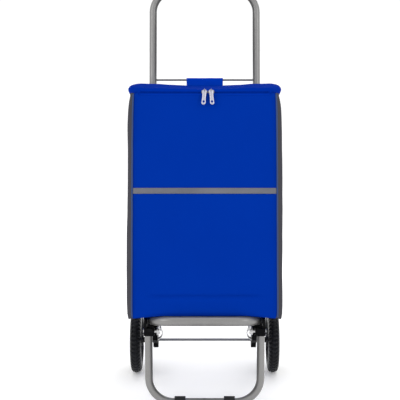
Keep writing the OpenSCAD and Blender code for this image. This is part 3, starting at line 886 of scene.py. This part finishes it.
def slider_frame(side):
    """Middle of a slider's outer face as (x, ahead, up), taken from its CAD box."""
    name = "l" if side < 0 else "r"
    low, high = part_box("zip_slider_" + name)
    mid = Vector(((low.x + high.x) / 2, low.y, (low.z + high.z) / 2))
    ahead = FORWARD.dot(mid - Vector((0, FOOT_Y, 0)))
    up = UPWARD.dot(mid - Vector((0, FOOT_Y, 0)))
    return mid.x, ahead, up


def slider(side, node, body):
    """Cast slider lying along the zip, waisted towards its nose, with a raised bridge for the pull."""
    x, ahead, up = slider_frame(side)
    ahead -= 0.0012
    up += 0.0030
    half_l = 0.0065
    section = slab(0.0040, 0.0016, 0.0011)
    verts = []
    stations = ((-1.0, 0.55), (-0.9, 0.75), (-0.5, 0.86), (0.1, 1.0), (0.8, 0.98), (0.94, 0.85), (1.0, 0.7))
    for t, w in stations:
        p = leaned(x + side * t * half_l, ahead, up)
        for s, lift in section:
            verts.append(p + UPWARD * s * w + FORWARD * lift * (0.6 + 0.4 * w))
    n = len(section)
    faces = grid_faces(len(stations), n, wrap_cols=True)
    faces.append(tuple(range(n - 1, -1, -1)))
    faces.append(tuple((len(stations) - 1) * n + j for j in range(n)))
    shell = make_mesh(node + "_body", verts, faces, [MAT["cast"]])
    pull_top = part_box("zip_pull_l" if side < 0 else "zip_pull_r")[1].z
    eye_up = up_at(pull_top, ahead) - 0.0013
    eye = []
    for i in range(16):
        a = math.pi * i / 8
        eye.append(leaned(x, ahead + 0.0042 + EYE_R * math.cos(a), eye_up + EYE_R * math.sin(a)))
    wire = slab(0.0009, 0.0005, 0.0004)
    bridge = sweep(node + "_bridge", eye, wire, [MAT["cast"]], closed=True, up=SIDEWAYS)
    post_path = [leaned(x, ahead + 0.0042 - EYE_R - 0.0004, lerp(up, eye_up, i / 5)) for i in range(6)]
    post = sweep(node + "_post", post_path, slab(0.0011, 0.0006, 0.0005), [MAT["cast"]], up=SIDEWAYS)
    obj = join(node + "_cast", [shell, bridge, post])
    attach(obj, body)
    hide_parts(node)


def pull(side, node, body):
    """Stamped pull tab with a domed face, a slot for the bridge and a hole at its tip."""
    x, ahead, _ = slider_frame(side)
    ahead += 0.0012
    top = up_at(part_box(node)[1].z, ahead) - 0.0003
    rows, across = 72, 26
    length = PULL_REACH + 2 * PULL_R
    holes = ((0.0027, 0.0012, 0.0011), (PULL_R + PULL_REACH - 0.0018, 0.0027, 0.0027))
    verts, faces = [], []

    def half_at(s):
        end = min(s, length - s)
        waist = PULL_R * (0.92 - 0.14 * math.sin(math.pi * min(1.0, s / length)) ** 2)
        if end < waist:
            return waist * math.sqrt(max(0.0, 1 - (1 - end / waist) ** 2)) + 1e-5
        return waist

    for sign in (1, -1):
        base = len(verts)
        for r in range(rows + 1):
            s = length * r / rows
            w = half_at(s)
            for c in range(across + 1):
                v = lerp(-1, 1, c / across)
                rim = smooth(0.62, 0.80, abs(v)) * 0.00035
                thick = 0.00060 + rim - 0.0004 * smooth(0.9, 1.0, abs(v))
                turn_x = v * w * math.cos(PULL_TILT) + side * (s - PULL_R) * math.sin(PULL_TILT)
                verts.append(leaned(x + turn_x, ahead + sign * thick, top - s))
        for r in range(rows):
            for c in range(across):
                s = length * (r + 0.5) / rows
                v = lerp(-1, 1, (c + 0.5) / across) * half_at(s)
                if any((v / hw) ** 2 + ((s - at) / hh) ** 2 < 1 for at, hw, hh in holes):
                    continue
                a = base + r * (across + 1) + c
                quad = (a, a + 1, a + across + 2, a + across + 1)
                faces.append(quad if sign < 0 else quad[::-1])
    count = (rows + 1) * (across + 1)
    edges = {(a, b) for f in faces for a, b in zip(f, f[1:] + f[:1])}
    for a, b in sorted(edges):
        if (b, a) not in edges and a < count:
            faces.append((b, a, a + count, b + count))
    obj = make_mesh(node + "_tab", verts, faces, [MAT["chrome"]])
    soften = obj.modifiers.new("soften", "BEVEL")
    soften.width = 0.0002
    soften.segments = 2
    soften.limit_method = "ANGLE"
    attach(obj, body)
    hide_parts(node)


# ---- wheels --------------------------------------------------------------------------------------

TREAD_BLOCKS = 46
TREAD_SPLIT = 0.45


def tyre(node, body):
    """Tyre with cross bars, staggered between crown and shoulders, and a ribbed sidewall."""
    low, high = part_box(node)
    centre = Vector(((low.x + high.x) / 2, AXLE_Y, WHEEL_R))
    half_w = (high.x - low.x) / 2
    rim = 0.058
    profile = []
    steps = 44
    for i in range(steps + 1):
        a = lerp(0, math.pi, i / steps)
        w = math.cos(a)
        h = math.sin(a) ** 0.62
        profile.append((half_w * math.copysign(abs(w) ** 0.72, w), rim + (WHEEL_R - rim) * h))
    cols = TREAD_BLOCKS * 8
    verts = []
    for c in range(cols):
        phase = c / 8
        ang = 2 * math.pi * c / cols
        for i, (x, r) in enumerate(profile):
            share = (r - rim) / (WHEEL_R - rim)
            u = abs(x) / half_w
            shoulder = u > TREAD_SPLIT
            local = (phase + (0.5 if shoulder else 0.35 * u)) % 1.0
            bar = smooth(0.24, 0.10, min(local, 1 - local))
            rib = smooth(0.09, 0.03, abs(u - TREAD_SPLIT))
            radius = r - 0.0032 * max(bar, rib) * smooth(0.45, 0.68, share)
            radius -= 0.0005 * smooth(0.5, 0.0, abs(share - 0.35) / 0.04)
            verts.append(centre + Vector((x, radius * math.cos(ang), radius * math.sin(ang))))
    faces = grid_faces(cols, len(profile), wrap_rows=True)
    n = len(profile)
    for c in range(cols):
        d = (c + 1) % cols
        faces.append((c * n + n - 1, c * n, d * n, d * n + n - 1))
    obj = make_mesh(node + "_tread", verts, faces, [MAT["tyre"]])
    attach(obj, body)
    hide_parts(node)


# ---- stage ---------------------------------------------------------------------------------------

CAMERA_AWAY = 2.47626
CAMERA_HEIGHT = 0.84514
CAMERA_DOWN = math.radians(9.2)
CAMERA_LENS = 90.32
CAMERA_SHIFT = -0.01175


def stage():
    """Pale floor and soft studio light."""
    world = bpy.data.worlds.new("studio")
    world.use_nodes = True
    world.node_tree.nodes["Background"].inputs["Color"].default_value = (1.0, 1.0, 1.0, 1)
    world.node_tree.nodes["Background"].inputs["Strength"].default_value = 1.05
    bpy.context.scene.world = world
    reach = 60.0
    corners = [(-reach, -reach, 0), (reach, -reach, 0), (reach, reach, 0), (-reach, reach, 0)]
    floor = make_mesh("studio_floor", corners, [(0, 1, 2, 3)], [], smooth_shade=False)
    shader = Shader("floor")
    speck = shader.noise(shader.coords("Object"), 3.0, 3.0)
    pale = shader.mix(shader.ramp(speck, 0.3, 0.7), (0.95, 0.95, 0.95), (0.97, 0.97, 0.97))
    floor.data.materials.append(shader.set(
        Base_Color=pale, Roughness=0.7, Emission_Color=(1.0, 1.0, 1.0, 1.0), Emission_Strength=0.12))

    def flag(name, y, z, half_y, half_z):
        """Dark card between the tubes that shows only in their reflections."""
        card = make_mesh(name, [(0, y - half_y, z - half_z), (0, y + half_y, z - half_z),
                                (0, y + half_y, z + half_z), (0, y - half_y, z + half_z)], [(0, 1, 2, 3)], [])
        card.data.materials.append(plastic_material(name, (0.02, 0.02, 0.02), 0.9))
        card.visible_camera = False
        card.visible_diffuse = False
        card.visible_shadow = False

    flag("upper_flag", leaned(0, 0, 0.85).y, 0.86, 0.16, 0.10)
    flag("lower_flag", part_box("leg_tube")[0].y, 0.10, 0.12, 0.08)

    def lamp(name, energy, size, place, aim):
        light = bpy.data.lights.new(name, "AREA")
        light.shape = "RECTANGLE"
        light.size, light.size_y = size
        light.energy = energy
        obj = bpy.data.objects.new(name, light)
        obj.location = place
        obj.rotation_euler = (Vector(aim) - Vector(place)).to_track_quat("-Z", "Y").to_euler()
        bpy.context.scene.collection.objects.link(obj)

    lamp("left", 15, (1.6, 1.6), (-2.2, -1.9, 1.9), (0, 0, 0.45))
    lamp("right", 13, (1.6, 1.6), (2.2, -1.9, 1.7), (0, 0, 0.4))
    lamp("top", 8, (2.0, 2.0), (0, 0.2, 2.8), (0, 0, 0.4))
    lamp("back", 12, (1.6, 1.6), (0.6, 2.4, 1.8), (0, 0, 0.5))


def camera():
    """Camera at the viewing angle that shows the trolley square on from slightly above."""
    data = bpy.data.cameras.new("camera")
    data.sensor_width = 36
    data.lens = CAMERA_LENS
    data.shift_x = CAMERA_SHIFT
    obj = bpy.data.objects.new("camera", data)
    obj.location = (0, AXLE_Y - CAMERA_AWAY, CAMERA_HEIGHT)
    obj.rotation_euler = (math.pi / 2 - CAMERA_DOWN, 0, 0)
    bpy.context.scene.collection.objects.link(obj)
    bpy.context.scene.camera = obj
    bpy.context.scene.view_settings.view_transform = "Standard"


finish_cad_nodes()
bag_shell()
bag_floor()
piping(-1, "piping_cord_l")
piping(1, "piping_cord_r")
reflective_strip()
bag_stitching()
side_stitching(-1)
side_stitching(1)
hanging_loop()
lid()
lid_hinge()
zip_front()
slider(-1, "zip_slider_l", "slider_left")
slider(1, "zip_slider_r", "slider_right")
pull(-1, "zip_pull_l", "pull_left")
pull(1, "zip_pull_r", "pull_right")
tyre("tyre_l", "wheel_left")
tyre("tyre_r", "wheel_right")
stage()
camera()
